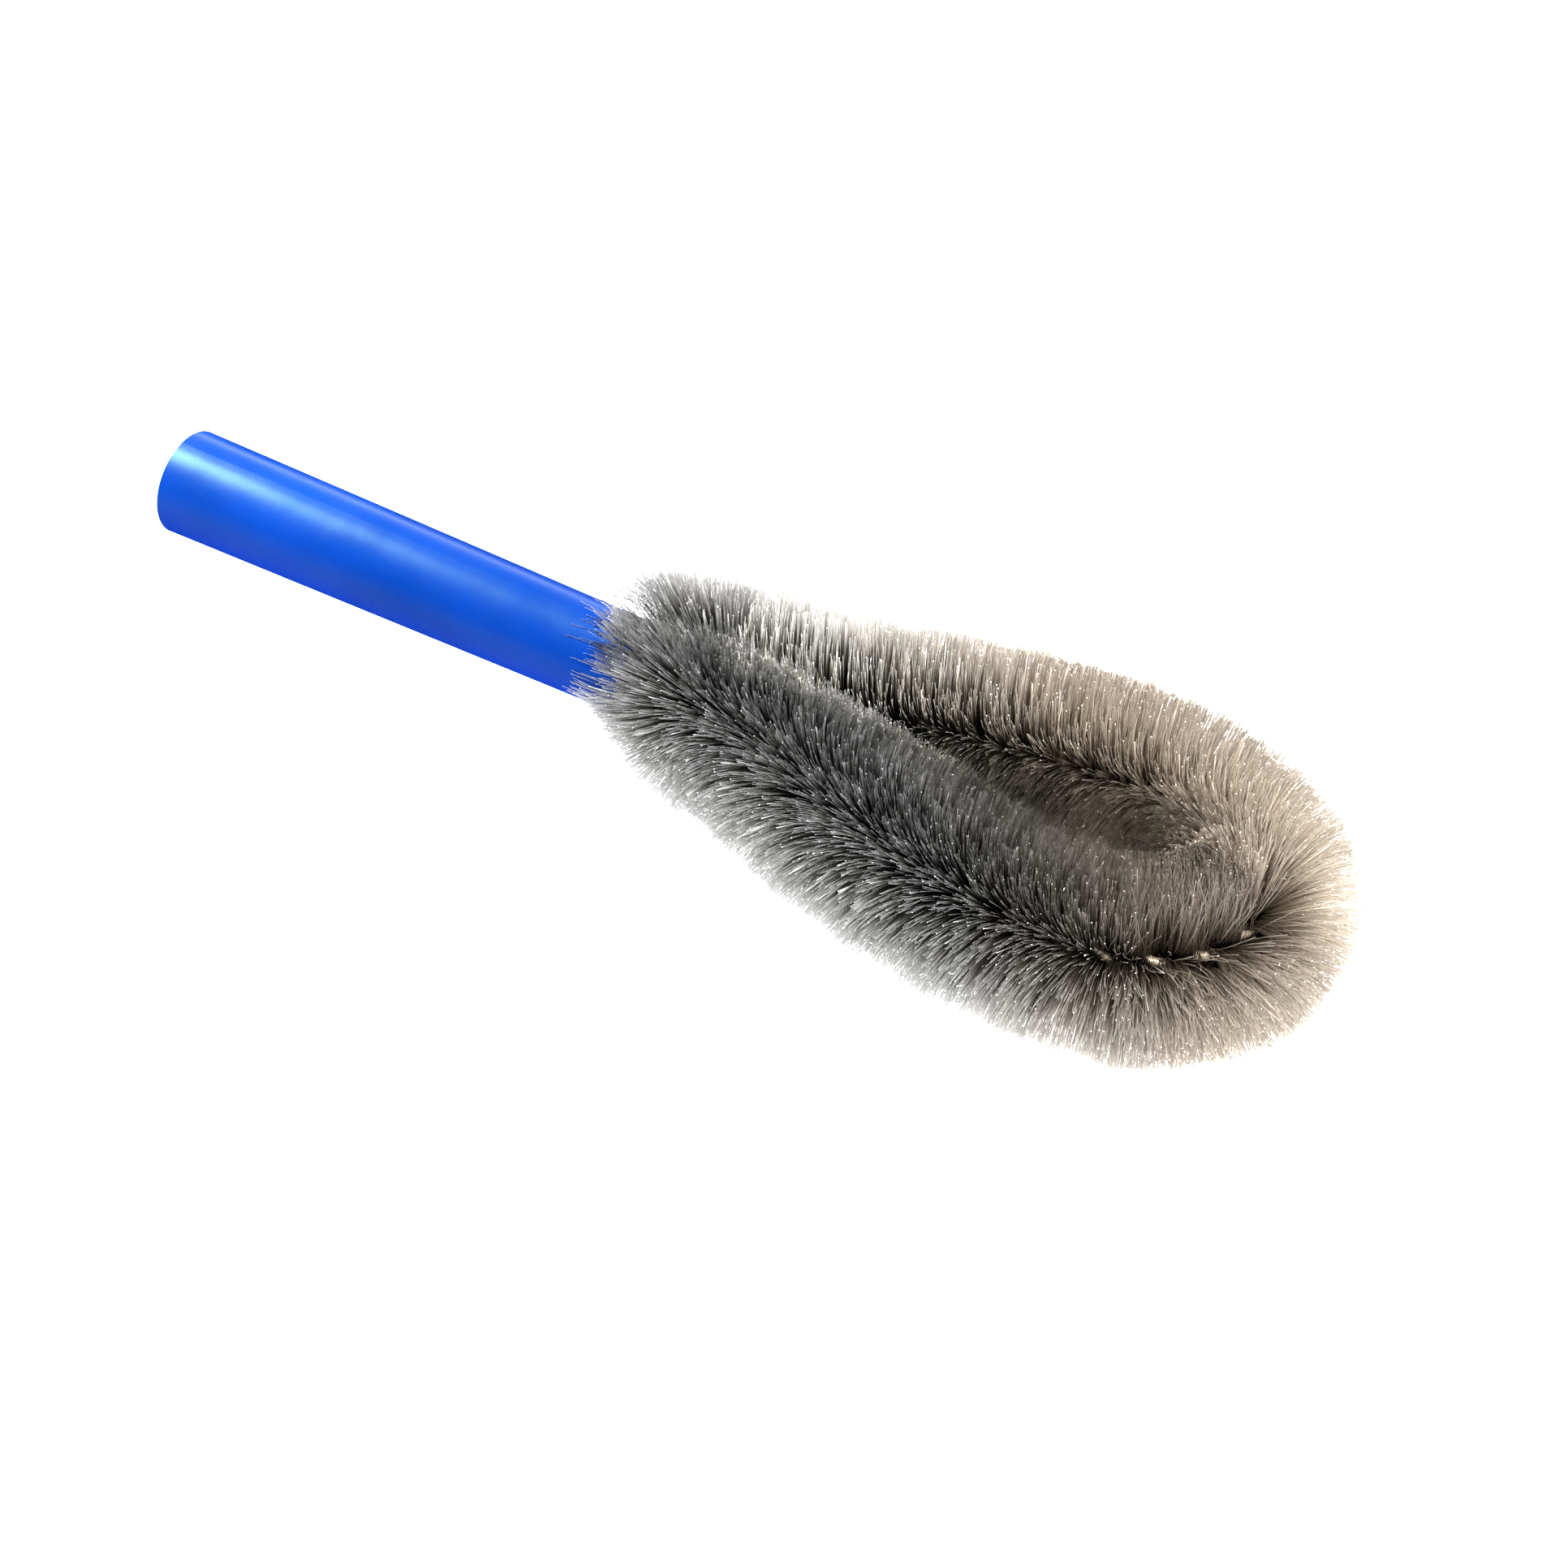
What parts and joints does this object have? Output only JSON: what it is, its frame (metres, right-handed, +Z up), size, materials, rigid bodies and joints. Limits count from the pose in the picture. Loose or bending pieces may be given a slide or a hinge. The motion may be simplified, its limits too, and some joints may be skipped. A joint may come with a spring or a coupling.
{
  "type": "wheel brush",
  "caption": "Wheel-cleaning brush: a twisted-wire loop packed with soft filaments, on a straight tapered plastic handle.",
  "frame": {"origin": "on the ground under the middle of the brush, which lies on its bristles", "axes": "+X along the brush towards the tip of the loop, +Y to the left leg of the loop, +Z up"},
  "size_m": [0.418, 0.1306, 0.066],
  "materials": {
    "handle_blue": "gloss",
    "plug_blue": "satin",
    "plug_natural": "matte",
    "ferrule_steel": "satin",
    "core_wire": "satin",
    "bristles": "matte"
  },
  "bodies": {
    "root": {"handle_shell": "handle_blue", "handle_end_plug": "plug_blue", "neck_plug": "plug_natural", "crimp_ferrule": "ferrule_steel", "core_wire_a": "core_wire", "core_wire_b": "core_wire", "bristle_fan_left_01": "bristles", "bristle_fan_left_02": "bristles", "bristle_fan_left_03": "bristles", "bristle_fan_left_04": "bristles", "bristle_fan_left_05": "bristles", "bristle_fan_left_06": "bristles", "bristle_fan_left_07": "bristles", "bristle_fan_left_08": "bristles", "bristle_fan_left_09": "bristles", "bristle_fan_left_10": "bristles", "bristle_fan_left_11": "bristles", "bristle_fan_left_12": "bristles", "bristle_fan_left_13": "bristles", "bristle_fan_left_14": "bristles", "bristle_fan_left_15": "bristles", "bristle_fan_right_01": "bristles", "bristle_fan_right_02": "bristles", "bristle_fan_right_03": "bristles", "bristle_fan_right_04": "bristles", "bristle_fan_right_05": "bristles", "bristle_fan_right_06": "bristles", "bristle_fan_right_07": "bristles", "bristle_fan_right_08": "bristles", "bristle_fan_right_09": "bristles", "bristle_fan_right_10": "bristles", "bristle_fan_right_11": "bristles", "bristle_fan_right_12": "bristles", "bristle_fan_right_13": "bristles", "bristle_fan_right_14": "bristles", "bristle_fan_right_15": "bristles"}
  },
  "joints": []
}
